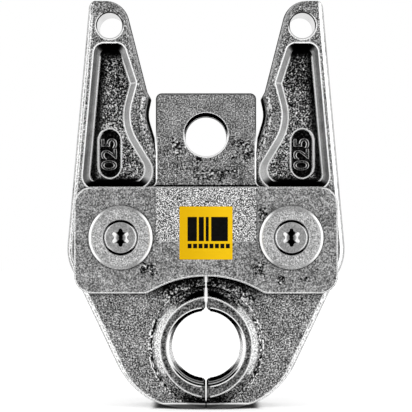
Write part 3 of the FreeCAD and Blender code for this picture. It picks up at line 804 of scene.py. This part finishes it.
# The socket is painted black as shade with painted light on its lobes at the sides, and the head's rim has a
# painted highlight, brightest at the sides.
socket_light = screw.sideways.rise(0.6, 0.8) & screw.radius.rise(0.5, 0.9)
socket_tone = mix(socket_light, BLACK, mix(screw.radius.rise(1.1, 2.0), 0.5, WHITE))
socket_tone = grained(socket_tone, grain, fine=0.06)
tone = mix(flat, socket_tone, grained(0.56, grain, fine=0.07, slow=0.04))
tone = mix(sunk & flat, tone, socket_tone)
head_rim = edge & flat & ~sunk & screw.radius.rise(SCREW_HEAD - 1.15, SCREW_HEAD - 0.75)
tone = mix(head_rim, tone, mix(screw.sideways.rise(0.35, 0.7), 0.6, WHITE))
screw_steel.coat(tone, grain.fine, strength=0.1, distance=0.05)
screw_steel.link(~head_rim, "Metallic")
dress([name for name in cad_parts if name.endswith("screw")], screw_steel)


# Pivot pins
# Hardened and ground steel pins, each through both plates and one jaw. The screws of the retaining
# discs go into a tapped hole in each end.
turned_steel = Finish("turned steel", roughness=0.3, specular=0.5)
grain = turned_steel.place(blasted_grain, grain_per_metre=1800.0)
turned_steel.coat(grained(0.6, grain, fine=0.04, slow=0.04), grain.fine, strength=0.1, distance=0.05)
dress([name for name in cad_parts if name.endswith("pin")], turned_steel)


# Return spring
# A compression spring of flat wire across the tool, seated in a blind pocket of each jaw. It is made
# as two halves that meet in the middle. Each half turns with the jaw that it is seated in.
SPRING_HEIGHT = 69.0
SPRING_HALF = 13.95
SPRING_OUTER = 4.0
SPRING_WIRE_THICKNESS = 1.0
SPRING_WIRE_WIDTH = 1.6
SPRING_HALF_TURNS = 3.5
STEPS_PER_TURN = 24
dress(("return_spring",), turned_steel)


def spring_half(side):
    """Half of the coil, wound from the middle of the tool towards one jaw."""
    shape = bmesh.new()
    inner = SPRING_OUTER - SPRING_WIRE_THICKNESS
    corners = [
        shape.verts.new((side * along * SPRING_WIRE_WIDTH, 0, SPRING_HEIGHT + radius))
        for along, radius in ((0, inner), (1, inner), (1, SPRING_OUTER), (0, SPRING_OUTER))
    ]
    wire = [shape.edges.new((corners[i], corners[(i + 1) % 4])) for i in range(4)]
    steps = round(SPRING_HALF_TURNS * STEPS_PER_TURN)
    bmesh.ops.spin(
        shape,
        geom=corners + wire,
        cent=(0, 0, SPRING_HEIGHT),
        axis=(side, 0, 0),
        dvec=(side * (SPRING_HALF - SPRING_WIRE_WIDTH) / steps, 0, 0),
        angle=2 * math.pi * SPRING_HALF_TURNS,
        steps=steps,
        use_merge=False,
    )
    bmesh.ops.holes_fill(shape, edges=shape.edges, sides=4)
    bmesh.ops.remove_doubles(shape, verts=shape.verts, dist=0.001)
    return finished_mesh("spring half", shape)


for jaw, side in (("left_jaw", -1), ("right_jaw", 1)):
    half = new_piece(f"return_spring_{jaw}_half", spring_half(side), turned_steel, jaw)
    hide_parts("return_spring")
    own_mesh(half)


# Stage
# A pale floor with a soft shadow at the tool's foot, soft even light with a lamp at each side, and
# the camera at the photograph's angle.
FLOOR_HALF = 1600
FOOT_HALF = 10
SHADOW_HALF = 21
SHADOW_REACH = 7
TOOL_MIDDLE = Vector((0, 0, 65))
LAMP_PLACE = (600, -350, 150)
LAMP_SIDE = 300
LAMP_WATTS = 1.6
CAMERA_PLACE = Vector((0, -780, 67.2))
SCENE = bpy.context.scene
shape = bmesh.new()
bmesh.ops.create_grid(shape, x_segments=1, y_segments=1, size=FLOOR_HALF)
floor = bpy.data.objects.new("floor", finished_mesh("floor", shape))
SCENE.collection.objects.link(floor)
floor_white = Finish("floor white", roughness=0.9, metallic=0.0)
floor_white.inputs["Emission Color"].default_value = (1, 1, 1, 1)
seen = (
    floor_white.read("ShaderNodeLightPath", "Is Camera Ray")
    | floor_white.read("ShaderNodeLightPath", "Is Glossy Ray")
    | floor_white.read("ShaderNodeLightPath", "Is Transmission Ray")
)
# The soft shadow at the tool's foot is painted into the floor's colour and glow, darker where less of the
# floor is open, and only across the width of the feet.
across = floor_white.place(surface_facts).across
reach = {"Distance": SHADOW_REACH * MM}
shadow_free = floor_white.read("ShaderNodeAmbientOcclusion", "AO", reach, samples=8)
shadow_free = shadow_free | across.rise(FOOT_HALF, SHADOW_HALF)
floor_white.link((seen & shadow_free.rise(0.65, 0.95)) * 0.4, "Emission Strength")
floor_white.link(mix(shadow_free.rise(0.5, 0.9), 0.1, 0.8), "Base Color")
floor.data.materials.append(floor_white.material)

world = bpy.data.worlds.new("studio")
SCENE.world = world
world.use_nodes = True
sky_tree = world.node_tree
up = separate(read_node(sky_tree, "ShaderNodeTexCoord", "Generated"))[2]
sky = mix(up.work_out("ABSOLUTE").rise(0.35, 0.12), 0.86, WHITE)
sky_tree.links.new(sky.socket, sky_tree.nodes["Background"].inputs["Color"])


def softbox(name, side):
    """Square soft lamp at one side, which looks at the middle of the tool."""
    lamp = bpy.data.lights.new(name, "AREA")
    lamp.size = LAMP_SIDE * MM
    lamp.energy = LAMP_WATTS
    holder = bpy.data.objects.new(name, lamp)
    SCENE.collection.objects.link(holder)
    across, depth, height = LAMP_PLACE
    place = Vector((side * across, depth, height))
    holder.location = place * MM
    holder.rotation_euler = (TOOL_MIDDLE - place).to_track_quat("-Z", "Y").to_euler()


softbox("left_softbox", -1)
softbox("right_softbox", 1)

camera = bpy.data.cameras.new("camera")
camera.sensor_width = 36
camera.lens = 201.7
camera_holder = bpy.data.objects.new("camera", camera)
SCENE.collection.objects.link(camera_holder)
camera_holder.location = CAMERA_PLACE * MM
camera_holder.rotation_euler = (math.radians(90), 0, 0)
SCENE.camera = camera_holder
SCENE.view_settings.view_transform = "Standard"
